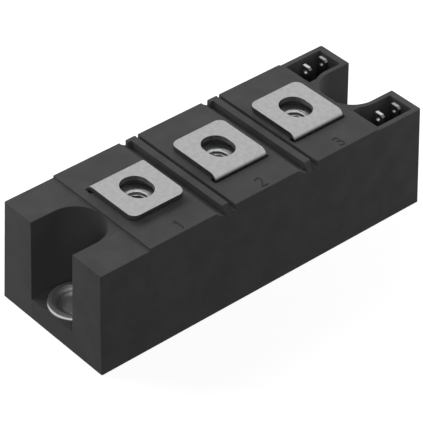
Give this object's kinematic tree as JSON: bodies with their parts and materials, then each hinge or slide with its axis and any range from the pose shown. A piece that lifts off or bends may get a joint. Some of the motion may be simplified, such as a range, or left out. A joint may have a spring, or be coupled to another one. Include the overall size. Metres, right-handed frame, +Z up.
{
  "type": "thyristor module",
  "caption": "Power thyristor module: a moulded housing with screw terminals on top, tabs for the gates, and a base plate that bolts to a heat sink.",
  "frame": {"origin": "middle of the underside, on the face that lies on the heat sink", "axes": "+X along the length towards the gate sockets, +Y to the back, +Z up through the terminals"},
  "size_m": [0.094, 0.0344, 0.0286],
  "materials": {
    "moulding": "fine grained moulding",
    "base_copper": "milled copper",
    "eyelet_steel": "plated",
    "terminal_plating": "tin plated, matt",
    "nut_steel": "zinc plated",
    "tab_plating": "tin plated",
    "circuit_copper": "bare copper",
    "ceramic": "matt white ceramic",
    "silicon": "polished",
    "lead_insulation": "silicone sleeve"
  },
  "bodies": {
    "root": {"housing": "moulding", "base_plate": "base_copper", "eyelet_left": "eyelet_steel", "eyelet_right": "eyelet_steel", "terminal_1": "terminal_plating", "terminal_2": "terminal_plating", "terminal_3": "terminal_plating", "terminal_nut_1": "nut_steel", "terminal_nut_2": "nut_steel", "terminal_nut_3": "nut_steel", "gate_tab_front_inner": "tab_plating", "gate_tab_front_outer": "tab_plating", "gate_tab_back_inner": "tab_plating", "gate_tab_back_outer": "tab_plating", "substrate_foil": "circuit_copper", "substrate_ceramic": "ceramic", "pad_left": "circuit_copper", "pad_middle": "circuit_copper", "pad_right": "circuit_copper", "thyristor_chip_a": "silicon", "thyristor_chip_b": "silicon", "cathode_clip_a": "circuit_copper", "cathode_clip_b": "circuit_copper", "gate_lead_a": "lead_insulation", "cathode_lead_a": "lead_insulation", "gate_lead_b": "lead_insulation", "cathode_lead_b": "lead_insulation"}
  },
  "joints": []
}
